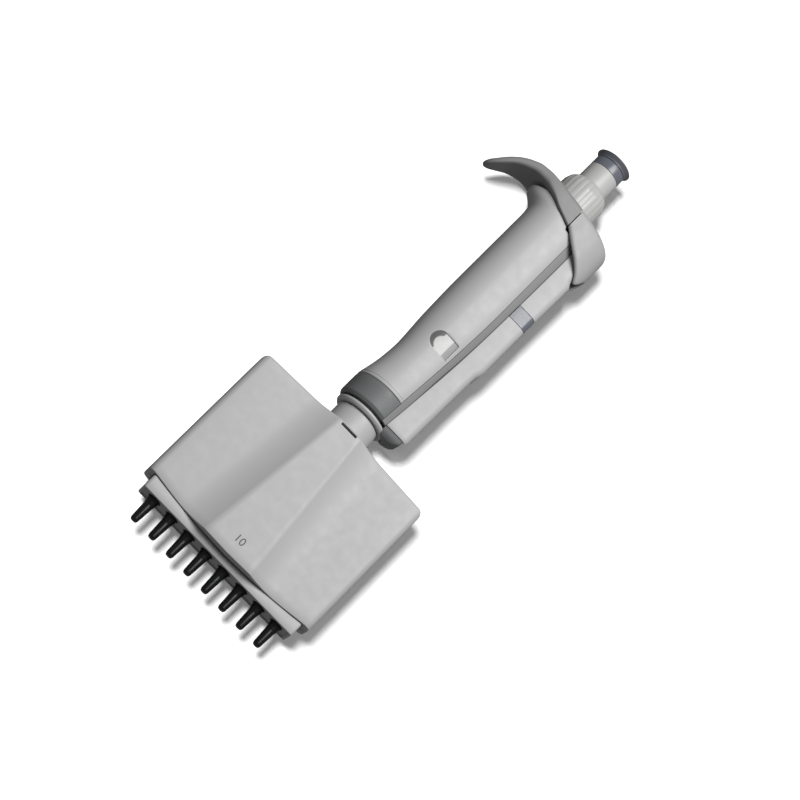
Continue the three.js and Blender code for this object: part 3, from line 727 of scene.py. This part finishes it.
def window_pane(name, top, bottom):
    """A piece that fills the window, with its faces at two depths under the shell's curved surface."""
    corners = [Vector(p) for p in window_outline(0.06)]
    outline = []
    for k, p in enumerate(corners):
        q = corners[(k + 1) % len(corners)]
        cuts = 10 if (q - p).length > 1 else 1
        outline += [p.lerp(q, n / cuts) for n in range(cuts)]
    middle = sum(outline, Vector((0, 0))) / len(outline)

    def surface(x, y):
        depth = smooth(SHELL_DEPTH, y)
        if x < 0:
            return depth * math.sqrt(1 - (x / smooth(SHELL_LEFT, y)) ** 2)
        return depth * (1 - (x * SHELL_SHARE / smooth(RAIL_INNER, y)) ** SHELL_POWER) ** (1 / SHELL_POWER)

    def ring(share, under):
        points = [middle.lerp(p, share) for p in outline]
        return [(p.x, p.y, surface(p.x, p.y) - under) for p in points]

    shares = (0.05, 0.3, 0.55, 0.8, 1)
    rings = [ring(share, bottom) for share in shares] + [ring(share, top) for share in reversed(shares)]
    return skin(name, rings)


def lower_band():
    """The dark band round the coupling, open on the ejector's side."""
    low, high, radius = BAND.y0, BAND.y1 + 0.12, BAND.z1
    line = fillet([(10.9, low), (radius - 0.9, low, 0.5), (radius, low + 1.2, 0.9), (radius, high - 1.6, 1),
                   (radius - 0.12, high, 0.25), (10.9, high)], 5)
    rings = []
    for s in range(81):
        ring = []
        for p in line:
            start = math.acos((smooth(RAIL_INNER, p.y) - GAP) / p.x)
            a = lerp(start, 2 * math.pi - start, s / 80)
            ring.append((p.x * math.cos(a), p.y, p.x * math.sin(a)))
        rings.append(ring)
    return finish_piece(skin("coupling_band", rings), "handle", "dark", DARK, "lower_band")


def side_rail():
    """The strip beside the ejector rod: a plate with slanted edges, cleared round the coupling."""
    rings = []
    for k in range(61):
        y = lerp(RAIL.y0, RAIL.y1, k / 60)
        inner, outer = smooth(RAIL_INNER, y) - RAIL_SPREAD, smooth(RAIL_OUTER, y) + RAIL_SPREAD
        depth = smooth(RAIL_DEPTH, y)
        edge = depth - RAIL_BEVEL
        outline = [(inner, depth, 0.25), (outer, edge, 0.5), (outer, -edge, 0.5), (inner, -depth, 0.25)]
        rings.append([(p.x, y, p.y) for p in fillet(outline, 3)])
    obj = skin("rod_rail", rings)
    boolean(obj, prism("clear", circle(11, 96), 80, 105, "y"))
    shelf = [(10, 147.5), (17.5, 147.5, 0.4), (17.5, 150, 0.4), (10, 150)]
    boolean(obj, prism("shelf", fillet(shelf), -3.5, 3.5), "UNION")
    shade(obj, 40)
    return finish_piece(obj, "handle", "grey", GREY, "side_rail")


def plan_columns(plan, count):
    """Points and inward directions round a symmetric outline, from the front seam to the rear seam."""
    full = [Vector(p) for p in plan] + [Vector((x, -z)) for x, z in reversed(plan[:-1])]
    line = spline([tuple(p) for p in full], count)
    out = []
    for k, p in enumerate(line):
        along = (line[min(k + 1, count)] - line[max(k - 1, 0)]).normalized()
        normal = Vector((-along.y, along.x))
        if normal.dot(p) > 0:
            normal = -normal
        if k in (0, count):
            normal = Vector((0, -1 if p.y > 0 else 1))
        out.append((p, normal))
    return out


def finger_hook():
    """The hook and its collar: a slab between two curved surfaces, open round the dial."""
    bore = KNOB.radius + 0.35
    columns = plan_columns(HOOK_PLAN, 120)
    start = math.atan2(columns[0][0].y, columns[0][0].x)
    seam_angle = math.acos(SEAM_X / bore)
    across = 12

    def above(point):
        return smooth(HOOK_ABOVE, point.x)

    def below(point):
        return smooth(HOOK_BELOW, point.x)

    rings = []
    for p, normal in columns:
        turn = math.atan2(p.y, p.x) % (2 * math.pi)
        share = (turn - start) / (2 * math.pi - 2 * start)
        a = lerp(seam_angle, 2 * math.pi - seam_angle, share)
        q = Vector((bore * math.cos(a), bore * math.sin(a)))
        thick = above(p) - below(p)
        soft = smooth([(-14, 1.7), (-6, 0.5)], p.x)
        over, under = min(1.9, thick * 0.45), min(soft, thick * 0.42)
        ring = []
        inner = p + normal * under
        for k in range(across + 1):
            point = q.lerp(inner, k / across)
            ring.append((point.x, below(point), point.y))
        for k in range(1, 6):
            b = math.pi / 2 * k / 5
            point = p + normal * under * (1 - math.sin(b))
            ring.append((point.x, below(point) + under * (1 - math.cos(b)), point.y))
        ring.append((p.x, lerp(below(p) + under, above(p) - over, 0.5), p.y))
        for k in range(7):
            b = math.pi / 2 * k / 6
            point = p + normal * over * (1 - math.cos(b))
            ring.append((point.x, above(point) - over * (1 - math.sin(b)), point.y))
        inner = p + normal * over
        for k in range(1, across + 1):
            point = inner.lerp(q, k / across)
            ring.append((point.x, above(point), point.y))
        rings.append(ring)
    obj = skin("hook_and_collar", rings, sharp=50)
    return finish_piece(obj, "handle", "grey", GREY, "finger_hook")


def handle():
    front = shell("front_shell", 1)
    boolean(front, prism("window", window_outline(0), 0, 20))
    soften(front, 0.18, 2, 50)
    finish_piece(front, "handle", "pale", PALE, "handle_shell_front")
    rear = shell("rear_shell", -1)
    lens = Span("display_lens")
    back = Span("handle_shell_rear").z0
    bezel = fillet([(-5.2, 158, 1.5), (5.2, 158, 1.5), (5.2, 188, 1.5), (-5.2, 188, 1.5)], 6)
    boolean(rear, prism("bezel", bezel, back, -10.2), "UNION")
    hole = [(lens.x0 - GAP, lens.y0 - GAP, 0.5), (lens.x1 + GAP, lens.y0 - GAP, 0.5),
            (lens.x1 + GAP, lens.y1 + GAP, 0.5), (lens.x0 - GAP, lens.y1 + GAP, 0.5)]
    boolean(rear, prism("hole", fillet(hole), -20, -5))
    soften(rear, 0.18, 2, 50)
    finish_piece(rear, "handle", "pale", PALE, "handle_shell_rear")
    lower_band()
    side_rail()
    finger_hook()

    finish_piece(window_pane("window_pane", *LENS_DEPTH), "handle", "clear", CLEAR, "window_lens")
    # the scale's look carries painted shadow at its round end
    shaded_scale_look = scale_plate("scale_plate", place(SCALE_SHADE_CENTRE), place((INK_RIGHT, 0, 0)).x)
    finish_piece(window_pane("adjustment_scale", *SCALE_DEPTH), "handle", "grey", shaded_scale_look, "adjust_plate")
    pane = [
        (lens.x0, lens.y0, 0.4), (lens.x1, lens.y0, 0.4), (lens.x1, lens.y1, 0.4), (lens.x0, lens.y1, 0.4)
    ]
    lens_rear = prism("display_pane", fillet(pane), lens.z0, lens.z1)
    finish_piece(soften(lens_rear, 0.12), "handle", "clear", CLEAR, "display_lens")


# ---------------------------------------------------------------- dial, button and ejector
def dial_ring():
    """The fluted ring round the control button."""
    k = KNOB
    ribs, per_rib = 24, 10
    radius, top = k.radius, k.y1
    outside = fillet([(9, 205.5), (radius - 0.1, 206, 0.3), (radius, 207), (radius, top - 4.2, 3.5),
                      (radius - 0.9, top - 1.4, 1.5), (radius - 2.3, top, 0.5), (7.0, top, 0.15),
                      (7.0, 203.2)],
                     6, closed=False)
    inside = [Vector(p) for p in ((3, 203.2), (3, k.y0), (9, k.y0))]
    rings = []
    for s in range(ribs * per_rib):
        a = 2 * math.pi * s / (ribs * per_rib)
        rib = abs(math.sin(ribs * a / 2)) ** 0.7
        ring = []
        for p in [*outside, *inside]:
            deep = 0.22 * smooth([(206.5, 0), (208, 1), (top - 1.6, 1), (top - 0.3, 0)], p.y)
            r = p.x - (deep * (1 - rib) if p.x > 7.5 else 0)
            ring.append((r * math.sin(a), p.y, r * math.cos(a)))
        rings.append(ring)
    obj = skin("fluted_ring", rings, loop=True, sharp=60)
    return finish_piece(obj, "dial", "knob_white", WHITE, "dial_ring")


def control_button():
    stem, band, cap = Span("button_stem"), Span("button_band"), Span("button_cap")
    r = stem.radius
    top = stem.y1 + 0.15
    profile = [(5.2, stem.y0), (r, stem.y0, 0.3), (r, top, 0.12), (3, top), (3, 226.2), (5.2, 226.2)]
    obj = turned("button_barrel", profile, 96)
    finish_piece(obj, "plunger", "knob_white", WHITE, "button_stem")
    profile = [(3, band.y0), (r, band.y0, 0.12), (r, band.y1, 0.12), (3, band.y1)]
    obj = turned("button_colour_band", profile, 96)
    finish_piece(obj, "plunger", "blue_grey", BLUE, "button_band")
    R, top = cap.radius, cap.y1
    profile = [(0, cap.y0), (2.7, cap.y0, 0.2), (2.7, 232.95), (r - 0.05, 232.95, 0.1), (r + 0.1, 233.6, 0.5),
               (R - 0.25, 234.6, 0.3), (R, 234.85, 0.15), (R, 235.15, 0.2), (R - 0.7, top, 0.5),
               (R - 1.7, top, 0.6), (R - 3.4, top - 0.45, 1.5), (0, top - 0.7)]
    obj = turned("button_flange", profile, 96)
    return finish_piece(obj, "plunger", "cap_blue", CAP, "button_cap")


def ejector_button():
    """The thumb button: a skirt round the handle's top, slanted below, with its roof open round the dial."""
    bore = KNOB.radius + 0.6
    thick = 1.3
    columns = plan_columns(BUTTON_PLAN, 90)
    start = math.atan2(columns[0][0].y, columns[0][0].x)
    seam_angle = math.acos(BUTTON_PLAN[0][0] / bore)

    def above(point):
        return smooth(BUTTON_ABOVE, point.x)

    rings = []
    for p, normal in columns:
        a = math.atan2(p.y, p.x) / start * seam_angle
        q = Vector((bore * math.cos(a), bore * math.sin(a)))
        low, over = smooth(BUTTON_BELOW, p.x), 1.9
        inner = p + normal * thick
        ring = [(inner.x, low + 0.35, inner.y)]
        for k in range(7):
            b = math.pi / 2 * k / 6
            point = p + normal * (thick - 0.2) * (1 - math.sin(b))
            ring.append((point.x, low + 1.7 * (1 - math.cos(b)), point.y))
        high = above(p) - over
        ring += [(p.x, lerp(low + 1.7, high, k / 8), p.y) for k in range(1, 8)]
        for k in range(7):
            b = math.pi / 2 * k / 6
            point = p + normal * over * (1 - math.cos(b))
            ring.append((point.x, above(point) - over * (1 - math.sin(b)), point.y))
        edge = p + normal * over
        for k in range(1, 9):
            point = edge.lerp(q, k / 8)
            ring.append((point.x, above(point), point.y))
        for k in range(8):
            point = q.lerp(inner, k / 8)
            ring.append((point.x, above(point) - 2, point.y))
        roof = above(inner) - 2.4
        ring += [(inner.x, lerp(roof, low + 0.6, k / 5), inner.y) for k in range(5)]
        rings.append(ring)
    obj = skin("thumb_button", rings, sharp=50)
    return finish_piece(obj, "ejector", "light_grey", BUTTON_GREY, "ejector_button")


def rod_outline(y, inset, wall=1.7):
    """The ejector rod's channel section, open towards the handle."""
    left = smooth(RAIL_OUTER, y) + GAP
    right, depth = smooth(ROD_RIGHT, y) - inset, ROD.z1 - inset
    outer = [(left, depth, 0.35), (right, depth, 3.4), (right, -depth, 3.4), (left, -depth, 0.35)]
    right, depth = smooth(ROD_RIGHT, y) - wall, ROD.z1 - wall
    inner = [(left, -depth), (right, -depth, 1.8), (right, depth, 1.8), (left, depth)]
    return [(p.x, y, p.y) for p in fillet([*outer, *inner], 6)]


def ejector_rod():
    band = Span("rod_band")
    low, high = ROD.y0, ROD.y1
    rows = [(low, 0.45), (low + 0.12, 0.14), (low + 0.45, 0)]
    rows += [(lerp(low + 0.45, band.y0 - 0.2, k / 40), 0) for k in range(1, 41)]
    rows += [(band.y0 - 0.16, 0.08), (band.y0 - 0.15, 0.6), (band.y1 + 0.15, 0.6), (band.y1 + 0.16, 0.08)]
    rows += [(lerp(band.y1 + 0.2, high, k / 20), 0) for k in range(21)]
    obj = skin("ejector_slide", [rod_outline(y, inset) for y, inset in rows])
    boolean(obj, prism("clear", circle(11.2, 96), 80, 105, "y"))
    front, back, rise = ROD_SLANT
    slant = [(front, low - 10), (front, low), (back, low + rise), (back, low - 10)]
    boolean(obj, prism("slant", slant, 5, 30, "x"))
    shade(obj, 40)
    finish_piece(obj, "ejector", "pale", PALE, "ejector_rod")

    def strip(y, inset):
        left, right, depth = smooth(RAIL_OUTER, y) + GAP, smooth(ROD_RIGHT, y), ROD.z1
        outer = [(left, depth - inset, 0.2), (right - inset, depth - inset, 3.4),
                 (right - inset, inset - depth, 3.4), (left, inset - depth, 0.2)]
        inner = [(left, 0.55 - depth), (right - 0.55, 0.55 - depth, 2.9), (right - 0.55, depth - 0.55, 2.9),
                 (left, depth - 0.55)]
        return [(p.x, y, p.y) for p in fillet([*outer, *inner], 6)]

    rows = [(band.y0, 0.08), (band.y0 + 0.06, 0), (band.y1 - 0.06, 0), (band.y1, 0.08)]
    obj = skin("rod_colour_band", [strip(y, inset) for y, inset in rows])
    return finish_piece(obj, "ejector", "blue_grey", BLUE, "rod_band")


def ejector_foot():
    """The rounded heel that carries the push from the rod to the ring."""
    foot = Span("ejector_foot")
    rings = []
    for k in range(21):
        y = lerp(foot.y0, foot.y1, k / 20)
        right, front, back, corner = (smooth([(row[0], row[n]) for row in HEEL], y) for n in range(1, 5))
        outline = [(foot.x0, back, 0.3), (right, back, corner), (right, front, 1.2), (foot.x0, front, 0.3)]
        rings.append([(p.x, y, p.y) for p in fillet(outline, 8)])
    obj = skin("ejector_heel", rings, sharp=60)
    boolean(obj, prism("clear", circle(RING.radius + 0.08, 96), 80, RING.y1 + 0.08, "y"))
    shade(obj, 50)
    return finish_piece(obj, "ejector", "dark", DARK, "ejector_foot")


def ejector_ring():
    r = RING
    profile = [(8.2, r.y0, 0.2), (r.radius - 0.7, r.y0, 0.35), (r.radius, r.y0 + 0.8, 0.4),
               (r.radius, r.y1, 0.3), (8.2, r.y1, 0.2)]
    return finish_piece(turned("pusher_ring", profile, 96), "ejector", "pale", PALE, "ejector_ring")


# ---------------------------------------------------------------- counter figures
def counter_figures():
    """Ten raised figures round each counter wheel."""
    for n in range(1, 5):
        wheel = Span(f"counter_wheel_{n}")
        middle = (wheel.y0 + wheel.y1) / 2
        bm = bmesh.new()
        for digit in range(10):
            data = text_mesh("digit", str(digit), 4.4, 0.1)
            lift = Matrix.Translation((0, 0, (wheel.radius + 0.03) * MM))
            spin = Matrix.Rotation(math.pi + digit * math.pi / 5, 4, "Y")
            data.transform(Matrix.Translation(place((0, middle, 0))) @ spin @ lift)
            bm.from_mesh(data)
        finish_piece(add_mesh(f"counter_figures_{n}", bm), f"counter_{n}", "knob_white", FIGURE)


SPRINGS = [  # name, node, wire radius, turns, joint and how far it shortens
    ("main_coil", "primary_spring", 0.45, 6, "plunger_press", 12),
    ("blowout_coil", "blowout_spring", 0.6, 4, "plunger_press", 3.2),
    ("ejector_coil", "ejector_spring", 0.4, 9, "ejector_press", 6.5),
]


def coil_spring(name, node, wire, turns):
    """A round-wire spring, seated at its lower end."""
    s = Span(node)
    radius, steps = s.radius - wire, turns * 36
    rise = (s.y1 - s.y0 - 2 * wire) / (2 * math.pi * turns)
    rings = []
    for k in range(steps + 1):
        a = 2 * math.pi * turns * k / steps
        outward = Vector((math.cos(a), 0, math.sin(a)))
        course = Vector((-radius * math.sin(a), rise, radius * math.cos(a))).normalized()
        side = course.cross(outward)
        middle = Vector((s.x, s.y0 + wire + rise * a, 0)) + outward * radius
        ring = []
        for n in range(10):
            b = 2 * math.pi * n / 10
            ring.append(tuple(middle + outward * wire * math.cos(b) + side * wire * math.sin(b)))
        rings.append(ring)
    obj = skin(name, rings, sharp=60)
    finish_piece(obj, "handle", "steel", STEEL, node)
    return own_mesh(obj)


def springs():
    for name, node, wire, turns, joint, travel in SPRINGS:
        coil_spring(name, node, wire, turns)


def paint_cad_nodes():
    """The inner pieces keep their CAD shape and get their finish here."""
    finishes = {
        "cylinder_block": INNER, "neck_tube": INNER, "piston_bar": INNER, "stripper_frame": INNER,
        "inner_frame": INNER, "spring_seat": INNER, "union_nut": GREY,
        "spindle": STEEL, "plunger_rod": STEEL, "cover_screw_left": STEEL, "cover_screw_right": STEEL,
    }
    finishes.update({f"piston_{n}": STEEL for n in range(1, 9)})
    finishes.update({f"counter_wheel_{n}": WHEEL for n in range(1, 5)})
    for node, look in finishes.items():
        dress(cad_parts[node], look)


# ---------------------------------------------------------------- stage, camera and light
def camera():
    """Above the front of the tool, 20 degrees towards the cones, with the tool's axis rising to the right."""
    tilt, yaw, distance = math.radians(20), math.radians(2.63), 1.2
    target = place((5.8, 105.4, 0))
    back = Vector((-math.sin(yaw) * math.cos(tilt), -math.sin(tilt), math.cos(yaw) * math.cos(tilt)))
    axis = Vector((0, 1, 0))
    upright = (axis - back * axis.dot(back)).normalized()
    across = upright.cross(back)
    right, up = (across + upright) / math.sqrt(2), (upright - across) / math.sqrt(2)
    data = bpy.data.cameras.new("camera")
    data.sensor_width = 36
    data.lens = 145.6
    data.clip_end = 20
    obj = add_object("camera", data)
    turn = Matrix((right, up, back)).transposed().to_4x4()
    obj.matrix_world = Matrix.Translation(target + back * distance) @ turn
    bpy.context.scene.camera = obj
    return target


def area_light(name, direction, distance, size, power, target):
    data = bpy.data.lights.new(name, "AREA")
    data.shape = "DISK"
    data.size = size
    data.energy = power
    obj = add_object(name, data)
    direction = direction.normalized()
    obj.location = target + direction * distance
    obj.rotation_euler = direction.to_track_quat("Z", "Y").to_euler()
    return obj


def stage_and_light():
    target = camera()
    look = Look("floor")
    look.set("Roughness", 0.9)
    look.color(look.noise(8), (0.92, 0.92, 0.92), (0.9, 0.9, 0.9))
    bm = bmesh.new()
    bmesh.ops.create_grid(bm, x_segments=1, y_segments=1, size=3)
    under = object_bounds()[0].z - 0.0003
    floor = add_mesh("floor", bm)
    floor.location.z = under
    dress(floor, look)

    world = bpy.data.worlds.new("studio")
    world.use_nodes = True
    world.node_tree.nodes["Background"].inputs["Color"].default_value = (1, 1, 1, 1)
    world.node_tree.nodes["Background"].inputs["Strength"].default_value = 0.18
    bpy.context.scene.world = world

    # the tool's own light leaves the floor out, and the floor's light draws the soft shadow
    tool_only = bpy.data.collections.new("lit_tool")
    tool_only.objects.link(floor)
    tool_only.collection_objects[0].light_linking.link_state = "EXCLUDE"
    floor_only = bpy.data.collections.new("lit_floor")
    floor_only.objects.link(floor)
    key = area_light("key", Vector((0.27, 0.42, 1)), 0.85, 0.55, 8.5, target)
    key.light_linking.receiver_collection = tool_only
    for name, energy, angle, direction in (
        ("floor_light", 4.5, 0.28, Vector((-0.36, -0.05, 1))),
        ("floor_fill", 0.4, 0.2, Vector((0, 0, 1))),
    ):
        sun = bpy.data.lights.new(name, "SUN")
        sun.energy = energy
        sun.angle = angle
        sun.use_shadow = name == "floor_light"
        light = add_object(name, sun)
        light.rotation_euler = direction.to_track_quat("Z", "Y").to_euler()
        light.light_linking.receiver_collection = floor_only
    floor.visible_diffuse = False
    floor.visible_glossy = False
    bpy.context.scene.view_settings.view_transform = "Standard"


manifold()
handle()
dial_ring()
control_button()
ejector_button()
ejector_rod()
ejector_foot()
ejector_ring()
counter_figures()
springs()
paint_cad_nodes()
stage_and_light()
